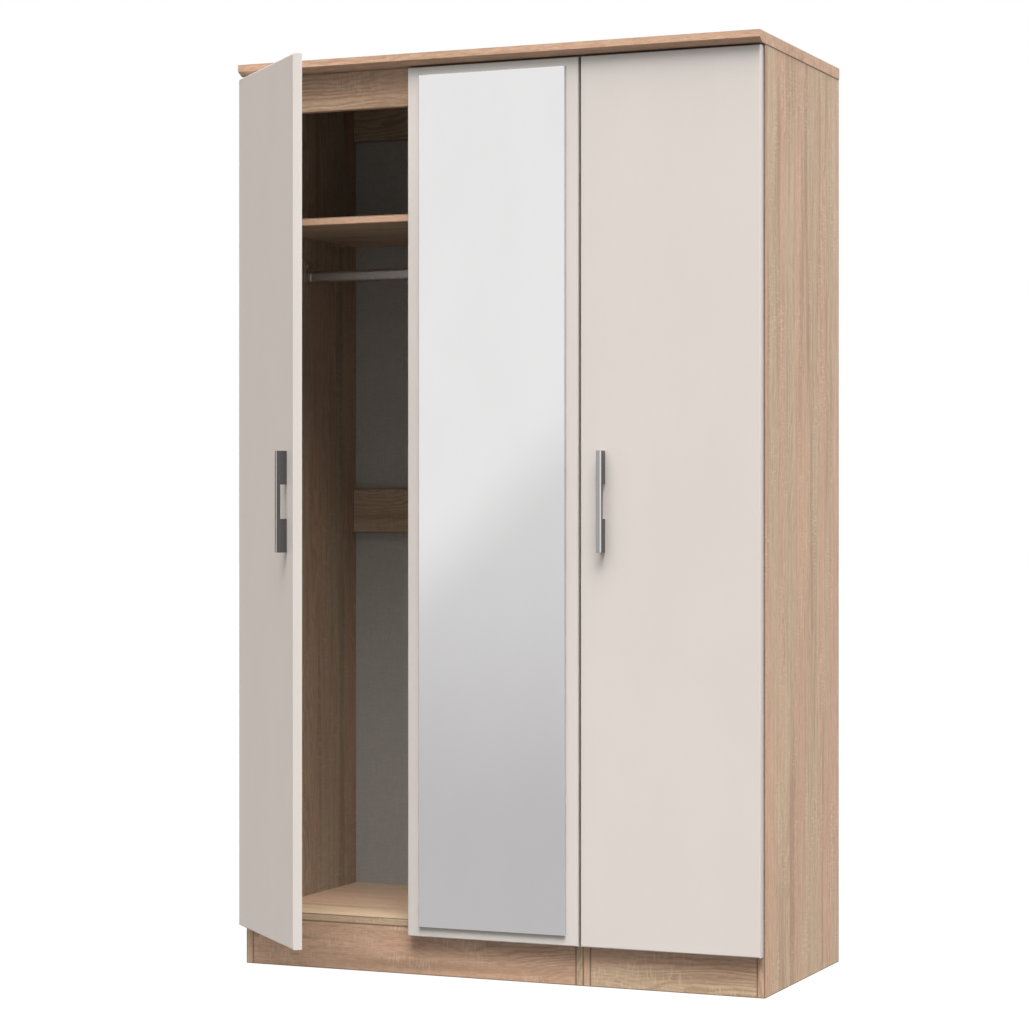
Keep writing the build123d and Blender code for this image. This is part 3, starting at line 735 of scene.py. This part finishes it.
def islands(node):
    """The points of each separate solid of a CAD node: joined triangles share their lowest label."""
    mesh = NODES[node].data
    points = np.empty(len(mesh.vertices) * 3)
    mesh.vertices.foreach_get("co", points)
    points = points.reshape(-1, 3)
    corners = np.empty(len(mesh.loops), np.int32)
    mesh.loops.foreach_get("vertex_index", corners)
    _, same = np.unique(np.round(points, 6), axis=0, return_inverse=True)
    same = same.reshape(-1)
    triangles = same[corners].reshape(-1, 3)
    label = np.arange(same.max() + 1)
    settled = False
    while not settled:
        lowest = label[triangles].min(axis=1)
        nearer = label.copy()
        for column in range(3):
            np.minimum.at(nearer, triangles[:, column], lowest)
        nearer = nearer[nearer]
        settled = np.array_equal(nearer, label)
        label = nearer
    owner = label[same]
    return [points[owner == one] for one in np.unique(owner)]


def headed(points, way):
    """Where a pin that faces a known way sits: the middle of its outer face, its radii and its length."""
    columns = way_frame(way)
    local = points @ columns
    middle = (local.min(axis=0) + local.max(axis=0)) / 2
    radius = np.hypot(local[:, 0] - middle[0], local[:, 1] - middle[1])
    outer, inner = local[:, 2].max(), local[:, 2].min()
    shank_radius = radius[local[:, 2] < inner + 0.3 * MM].max()
    spot = columns @ np.array([middle[0], middle[1], outer])
    return spot, radius.max(), shank_radius, outer - inner


def way_across(front_way):
    """The level way across a face that looks along front_way."""
    return np.array((-front_way[1], front_way[0], 0.0))


def span_across(node, front_way):
    """A node's middle and half width along the level way across a face."""
    reach = np.concatenate(islands(node)) @ way_across(front_way)
    return float(reach.min() + reach.max()) / 2, float(reach.max() - reach.min()) / 2


def into_unit(points):
    """The way along X from a side panel's inner face to the middle of its own unit."""
    x = (points[:, 0].min() + points[:, 0].max()) / 2
    unit = "left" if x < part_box("left_unit_side_right")[1].x else "right"
    low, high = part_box(f"{unit}_unit_shelf")
    return (math.copysign(1.0, (low.x + high.x) / 2 - x), 0.0, 0.0)


def screws_in_place(name, node, way_of, body, material, head_tall=PAN_TALL, head_radius=None):
    """A piece of threaded screws in place of a CAD node of plain ones.

    With a head radius of its own, a screw that is flush in CAD stands its head on its outer face.
    """
    shapes = []
    for points in islands(node):
        way = np.asarray(way_of(points), float)
        spot, radius, shank_radius, long = headed(points, way)
        seat = spot if head_radius else spot - way * head_tall
        under = long if head_radius else long - head_tall
        screw = screw_shape(head_radius or radius, head_tall, shank_radius, under)
        shapes.append(stood(screw, seat, way))
    piece = add_piece(name, gathered(shapes), body, material)
    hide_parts(node)


def turned_in_place(name, node, way_of, body, material, profile):
    """A piece of turned shapes in place of a CAD node of plain pins.

    The profile gives shares of the pin's radius against shares of its length below its outer face.
    """
    shapes = []
    for points in islands(node):
        way = np.asarray(way_of(points), float)
        spot, radius, _, long = headed(points, way)
        sized = [(share * radius, -depth * long) for share, depth in profile]
        shapes.append(stood(profiled(sized, PIN_SPOKES), spot, way))
    piece = add_piece(name, gathered(shapes), body, material)
    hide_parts(node)


def soften(node, width):
    """Welds a node's loose triangles and rounds its sharp arrises."""
    piece = NODES[node]
    weld = piece.modifiers.new("Weld", "WELD")
    weld.merge_threshold = JOINED_WITHIN
    bevel = piece.modifiers.new("Arris", "BEVEL")
    bevel.width = width
    bevel.segments = ARRIS_SEGMENTS
    bevel.limit_method = "ANGLE"
    bevel.angle_limit = SHARP_FROM


# ---------------------------------------------------------------- operators


class WardrobeOperator(bpy.types.Operator):
    """What every wardrobe operator shares."""

    bl_options = {"REGISTER", "UNDO"}


# Each board: its grain's turn, the strength of its growth lines, the strength of its saw marks
BOARD_LOOKS = {
    "side_left": (UPRIGHT, 0.6, 0.6),
    "side_right": (UPRIGHT, 0.6, 0.6),
    "bottom": (LEVEL, 0.4, 0.5),
    "plinth": (LEVEL, 0.8, 0.9),
    "front_top_rail": (LEVEL, 1.0, 0.5),
    "rear_top_rail": (LEVEL, 0.7, 0.5),
    "mid_back_rail": (LEVEL, 0.7, 0.5),
    "shelf": (LEVEL, 0.4, 0.5),
}


class WARDROBE_OT_boards(WardrobeOperator):
    """Finish the carcase's boards in oak foil, each from its own part of the print"""

    bl_idname = "wardrobe.boards"
    bl_label = "Carcase Boards"

    def execute(self, context):
        for unit_index, unit in enumerate(UNIT_NAMES):
            for index, (kind, (turn, figure, sawn)) in enumerate(BOARD_LOOKS.items()):
                node = f"{unit}_unit_{kind}"
                label = f"Oak foil, {unit} {kind}".replace("_", " ")
                shift = (0.37 * index + 1.9 * unit_index, 0.23 * index, 0.61 * unit_index)
                dress(NODES[node], oak(label, node, turn, shift, figure, sawn))
                soften(node, BOARD_ARRIS)
        top = oak(
            "Oak foil, top board", "top_board", LEVEL, (3.1, 0.7, 0.2), figure=0.5, sawn=0.5, seam=0.1,
            is_top=True,
        )
        dress(NODES["top_board"], top)
        soften("top_board", TOP_ARRIS)
        return {"FINISHED"}


class WARDROBE_OT_backs(WardrobeOperator):
    """Finish the thin back panels with a linen print inside and bare hardboard outside"""

    bl_idname = "wardrobe.backs"
    bl_label = "Back Panels"

    def execute(self, context):
        front_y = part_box("left_unit_back")[0].y
        material = linen_back("Linen-print hardboard", front_y)
        for unit in UNIT_NAMES:
            dress(NODES[f"{unit}_unit_back"], material)
        return {"FINISHED"}


class WARDROBE_OT_doors(WardrobeOperator):
    """Wrap the three doors in gloss foil, with plain melamine backs"""

    bl_idname = "wardrobe.doors"
    bl_label = "Doors"

    def execute(self, context):
        for name in DOOR_NAMES:
            dress(NODES[f"{name}_door_panel"], door_foil(name, *door_face(name)))
        return {"FINISHED"}


def door_face(name):
    """A point on a door's back face and the way out of its front: the left door rests part open."""
    if name != "left":
        return (0.0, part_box(f"{name}_door_panel")[1].y, 0.0), (0.0, -1.0, 0.0)
    joint = next(one for one in frame["joints"] if one["child"] == f"{name}_door")
    turn = math.radians(-joint["range_deg"][0])
    return joint["pos_m"], (-math.sin(turn), -math.cos(turn), 0.0)


class WARDROBE_OT_mirror(WardrobeOperator):
    """Silver the mirror glass and finish the tape that holds it"""

    bl_idname = "wardrobe.mirror"
    bl_label = "Mirror"

    def execute(self, context):
        dress(NODES["mirror_glass"], silvered_glass(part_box("mirror_glass")[0].y))
        dress(NODES["mirror_tape"], soft_plastic("Foam tape", (0.050, 0.050, 0.055, 1.0), 0.85))
        return {"FINISHED"}


class WARDROBE_OT_handles(WardrobeOperator):
    """Finish the two bar handles in satin chrome, brushed along their length"""

    bl_idname = "wardrobe.handles"
    bl_label = "Handles"

    def execute(self, context):
        for door in ("left", "right"):
            dress(NODES[f"{door}_door_handle"], chrome_bar(door, door_face(door)[1]))
        return {"FINISHED"}


class WARDROBE_OT_rails(WardrobeOperator):
    """Finish the hanging rails and the sockets that hold them"""

    bl_idname = "wardrobe.rails"
    bl_label = "Hanging Rails"

    def execute(self, context):
        metal = context.scene.wardrobe.metal
        rail_steel = brushed_metal("Satin steel rail", metal.rail, LEVEL)
        for unit in UNIT_NAMES:
            dress(NODES[f"{unit}_unit_hanging_rail"], rail_steel)
        dress(NODES["rail_sockets"], brushed_metal("Plated sockets", metal.fitting, UPRIGHT))
        return {"FINISHED"}


def out_of_back(door):
    """The way out of a door's back face."""
    return tuple(-part for part in door_face(door)[1])


class WARDROBE_OT_hinges(WardrobeOperator):
    """Finish the concealed hinges in nickel plate, with two adjusting screws on each arm"""

    bl_idname = "wardrobe.hinges"
    bl_label = "Hinges"

    def execute(self, context):
        plate = brushed_metal("Nickel plate", context.scene.wardrobe.metal.fitting, FRONT_TO_BACK)
        for node in ("hinge_plates", "hinge_arms", *(f"{name}_hinge_cups" for name in DOOR_NAMES)):
            dress(NODES[node], plate)
        soften("hinge_arms", ARM_ARRIS)
        soften("hinge_plates", PLATE_ARRIS)
        shapes = []
        for points in islands("hinge_arms"):
            way = into_unit(points)
            low, high = points.min(axis=0), points.max(axis=0)
            face_x = high[0] if way[0] > 0 else low[0]
            for depth in ADJUSTER_DEPTHS:
                spot = (face_x - way[0] * ADJUSTER_TALL, depth, (low[2] + high[2]) / 2)
                screw = screw_shape(ADJUSTER_RADIUS, ADJUSTER_TALL, ADJUSTER_RADIUS / 2, ADJUSTER_LONG)
                shapes.append(stood(screw, spot, way))
        add_piece("hinge_adjusting_screws", gathered(shapes), "carcase", plate)
        return {"FINISHED"}


class WARDROBE_OT_screws(WardrobeOperator):
    """Drive threaded cross-head screws where the hinges, rails and handles are fixed"""

    bl_idname = "wardrobe.screws"
    bl_label = "Screws"

    def execute(self, context):
        plate = brushed_metal("Nickel screws", context.scene.wardrobe.metal.fitting, UPRIGHT)
        for node in ("rail_socket_screws", "hinge_plate_screws"):
            screws_in_place(f"threaded_{node}", node, into_unit, "carcase", plate)
        for door in DOOR_NAMES:
            back_way = out_of_back(door)
            screws_in_place(
                f"threaded_{door}_cup_screws", f"{door}_cup_screws", lambda points: back_way,
                f"{door}_door", plate, FLANGE_HEAD_TALL, FLANGE_HEAD_RADIUS,
            )
            if door != "mirror":
                node = f"{door}_handle_screws"
                screws_in_place(f"threaded_{node}", node, lambda points: back_way, f"{door}_door", plate)
        return {"FINISHED"}


class WARDROBE_OT_connectors(WardrobeOperator):
    """Finish the bolts and sleeves that hold the two units side by side"""

    bl_idname = "wardrobe.connectors"
    bl_label = "Unit Connectors"

    def execute(self, context):
        plate = brushed_metal("Plated connectors", context.scene.wardrobe.metal.fitting, UPRIGHT)
        dress(NODES["unit_connector_sleeves"], plate)
        soften("unit_connector_sleeves", PLATE_ARRIS)
        screws_in_place(
            "threaded_unit_connector_screws", "unit_connector_screws", lambda points: (1.0, 0.0, 0.0),
            "carcase", plate, CONNECTOR_TALL,
        )
        return {"FINISHED"}


# Shares of the radius against shares of the length below the outer face
PEG_PROFILE = (
    (0.30, 0.0), (0.70, 0.004), (0.90, 0.018), (1.00, 0.050), (1.00, 0.470), (0.84, 0.490), (0.84, 0.525),
    (1.00, 0.545), (1.00, 0.950), (0.80, 0.985), (0.50, 1.0),
)
BUMPER_PROFILE = (
    (0.15, 0.0), (0.35, 0.02), (0.55, 0.07), (0.72, 0.16), (0.86, 0.32), (0.95, 0.55), (1.00, 0.82),
    (1.00, 1.0), (0.50, 1.0),
)


class WARDROBE_OT_pegs(WardrobeOperator):
    """Turn the shelf pegs, and finish the beech dowels hidden in the joints"""

    bl_idname = "wardrobe.pegs"
    bl_label = "Pegs and Dowels"

    def execute(self, context):
        metal = brushed_metal("Plated pegs", context.scene.wardrobe.metal.fitting, LEVEL)
        turned_in_place(
            "turned_shelf_pegs", "shelf_pegs", into_unit, "carcase", metal, PEG_PROFILE,
        )
        beech = oak("Beech dowels", "dowels", LEVEL, (7.0, 0.0, 0.0), figure=0.0, sawn=0.0, seam=0.0)
        dress(NODES["dowels"], beech)
        return {"FINISHED"}


class WARDROBE_OT_bumpers(WardrobeOperator):
    """Stick a domed clear bumper at the top and foot of each door's back"""

    bl_idname = "wardrobe.bumpers"
    bl_label = "Door Bumpers"

    def execute(self, context):
        clear = soft_plastic("Clear bumper", (0.720, 0.720, 0.700, 1.0), 0.35)
        for door in DOOR_NAMES:
            back_way = out_of_back(door)
            turned_in_place(
                f"domed_{door}_door_bumpers", f"{door}_door_bumpers", lambda points: back_way,
                f"{door}_door", clear, BUMPER_PROFILE,
            )
        return {"FINISHED"}


class WARDROBE_OT_stage(WardrobeOperator):
    """Set up the floor, the soft studio light and the camera"""

    bl_idname = "wardrobe.stage"
    bl_label = "Stage"

    def execute(self, context):
        settings = context.scene.wardrobe.stage
        context.scene.view_settings.view_transform = "Standard"
        make_floor()
        make_world(settings.ambient)
        make_lights()
        make_camera(settings)
        return {"FINISHED"}


FLOOR_HALF = 40.0
FLOOR_SEEN = 0.9
FLOOR_BOUNCE = 0.12


def make_floor():
    """A wide pale floor that reads almost white, and throws little light back up."""
    mesh = bpy.data.meshes.new("floor")
    reach = FLOOR_HALF
    corners = [(-reach, -reach, 0), (reach, -reach, 0), (reach, reach, 0), (-reach, reach, 0)]
    mesh.from_pydata(corners, [], [(0, 1, 2, 3)])
    floor = bpy.data.objects.new("floor", mesh)
    bpy.context.scene.collection.objects.link(floor)
    floor.visible_glossy = False
    material, tree, shader = new_material("Pale floor")
    path = tree.nodes.new("ShaderNodeLightPath")
    bounce = [FLOOR_BOUNCE] * 3 + [1.0]
    seen = [FLOOR_SEEN] * 3 + [1.0]
    tree.links.new(mixed(tree, path.outputs["Is Camera Ray"], bounce, seen), shader.inputs["Base Color"])
    shader.inputs["Roughness"].default_value = 0.9
    shader.inputs["Specular IOR Level"].default_value = 0.0
    glow = tree.nodes.new("ShaderNodeEmission")
    blend = tree.nodes.new("ShaderNodeMixShader")
    lit = maths(tree, "MULTIPLY", path.outputs["Is Camera Ray"], FLOOR_SEEN)
    tree.links.new(lit, blend.inputs[0])
    tree.links.new(shader.outputs[0], blend.inputs[1])
    tree.links.new(glow.outputs[0], blend.inputs[2])
    tree.links.new(blend.outputs[0], tree.nodes["Material Output"].inputs["Surface"])
    dress(floor, material)


HORIZON_TILT = 0.060
HORIZON_TURN = 0.096
HORIZON_YAW = math.radians(23.5)
HORIZON_SOFT = 0.022
SKY_IN_GLOSS = (0.87, 0.865, 0.865, 1.0)
GROUND_IN_GLOSS = (0.71, 0.705, 0.705, 1.0)
NEAR_GROUND_IN_GLOSS = (0.535, 0.525, 0.53, 1.0)
BEHIND_LEFT_IN_GLOSS = (0.36, 0.30, 0.24, 1.0)
LOW_SKY_SHARE = 0.36


def make_world(ambient):
    """White behind the wardrobe, soft light that is stronger from above, and pale over grey in reflections.

    In reflections the line between the pale and the grey falls to the right, over a narrow turn of yaw.
    """
    world = bpy.data.worlds.new("Studio")
    bpy.context.scene.world = world
    world.use_nodes = True
    tree = world.node_tree
    tree.nodes.clear()
    x, y, z = axes(tree, tree.nodes.new("ShaderNodeTexCoord").outputs["Generated"])
    east = maths(tree, "MULTIPLY", x, -1.0)
    south = maths(tree, "MULTIPLY", y, -1.0)
    yaw = maths(tree, "SUBTRACT", maths(tree, "ARCTAN2", east, south), HORIZON_YAW)
    tilt = remap(tree, yaw, -HORIZON_TURN, HORIZON_TURN, -HORIZON_TILT, HORIZON_TILT)
    edge = maths(tree, "ADD", z, tilt)
    sky = remap(tree, edge, -HORIZON_SOFT, HORIZON_SOFT)
    near = remap(tree, z, 0.0, -0.12)
    ground = mixed(tree, near, GROUND_IN_GLOSS, NEAR_GROUND_IN_GLOSS)
    front = mixed(tree, sky, ground, SKY_IN_GLOSS)
    behind = remap(tree, y, -0.2, 0.4)
    leftward = remap(tree, x, -0.2, -0.8)
    dim = maths(tree, "MULTIPLY", behind, leftward)
    seen_in_gloss = mixed(tree, dim, front, BEHIND_LEFT_IN_GLOSS)
    path = tree.nodes.new("ShaderNodeLightPath")
    dome = tree.nodes.new("ShaderNodeMapRange")
    tree.links.new(z, dome.inputs[0])
    dome.inputs[3].default_value = ambient * LOW_SKY_SHARE
    dome.inputs[4].default_value = ambient
    even = mixed(tree, path.outputs["Is Glossy Ray"], dome.outputs[0], seen_in_gloss)
    colour = mixed(tree, path.outputs["Is Camera Ray"], even, (1.0, 1.0, 1.0, 1.0))
    background = tree.nodes.new("ShaderNodeBackground")
    tree.links.new(colour, background.inputs["Color"])
    output = tree.nodes.new("ShaderNodeOutputWorld")
    tree.links.new(background.outputs[0], output.inputs["Surface"])


# Each light: name, degrees to the right of the doors' front, degrees up, spread, strength, seen in gloss
LIGHTS = (
    ("overhead", 8.0, 76.0, 40.0, 3.60, False),
    ("key", 32.0, 65.0, 36.0, 2.75, True),
    ("right_side", 95.0, 25.0, 36.0, 0.98, True),
    ("left_fill", -42.0, 50.0, 36.0, 1.05, False),
)


def make_lights():
    """Broad distant lights, so that the light is even from top to foot."""
    for name, right, up, spread, strength, in_gloss in LIGHTS:
        data = bpy.data.lights.new(name, "SUN")
        data.angle = math.radians(spread)
        data.energy = strength
        light = bpy.data.objects.new(name, data)
        bpy.context.scene.collection.objects.link(light)
        level = math.cos(math.radians(up))
        turn = math.radians(right)
        from_way = (math.sin(turn) * level, -math.cos(turn) * level, math.sin(math.radians(up)))
        light.matrix_world = Matrix(way_frame(from_way).tolist()).to_4x4()
        light.visible_camera = False
        light.visible_glossy = in_gloss


CAMERA_SPOT = (2.2178, -5.1352, 0.9129)
SENSOR_WIDE = 36.0


def make_camera(settings):
    """A level camera, turned to the left."""
    data = bpy.data.cameras.new("camera")
    data.lens = settings.lens
    data.sensor_width = SENSOR_WIDE
    data.clip_end = 200.0
    camera = bpy.data.objects.new("camera", data)
    bpy.context.scene.collection.objects.link(camera)
    camera.location = CAMERA_SPOT
    camera.rotation_euler = (math.radians(90), 0.0, settings.camera_yaw)
    bpy.context.scene.camera = camera


# ---------------------------------------------------------------- panel and registration

STEPS = (
    WARDROBE_OT_stage,
    WARDROBE_OT_boards,
    WARDROBE_OT_backs,
    WARDROBE_OT_doors,
    WARDROBE_OT_mirror,
    WARDROBE_OT_handles,
    WARDROBE_OT_rails,
    WARDROBE_OT_hinges,
    WARDROBE_OT_screws,
    WARDROBE_OT_connectors,
    WARDROBE_OT_pegs,
    WARDROBE_OT_bumpers,
)


class WARDROBE_PT_steps(bpy.types.Panel):
    """The wardrobe's steps, in the 3D view's sidebar"""

    bl_label = "Wardrobe"
    bl_space_type = "VIEW_3D"
    bl_region_type = "UI"
    bl_category = "Wardrobe"

    def draw(self, context):
        for step in STEPS:
            self.layout.operator(step.bl_idname)


CLASSES = (
    OakFinish, DoorFinish, MetalFinish, StageSettings, WARDROBE_PG_settings, *STEPS, WARDROBE_PT_steps,
)


def register():
    """Registers the classes and the scene's settings."""
    for one in CLASSES:
        bpy.utils.register_class(one)
    bpy.types.Scene.wardrobe = PointerProperty(type=WARDROBE_PG_settings)


def unregister():
    """Takes the settings and the classes away again."""
    del bpy.types.Scene.wardrobe
    for one in reversed(CLASSES):
        bpy.utils.unregister_class(one)


def main():
    """Runs every step in order."""
    register()
    for step in STEPS:
        group, name = step.bl_idname.split(".")
        getattr(getattr(bpy.ops, group), name)()


if __name__ == "__main__":
    main()
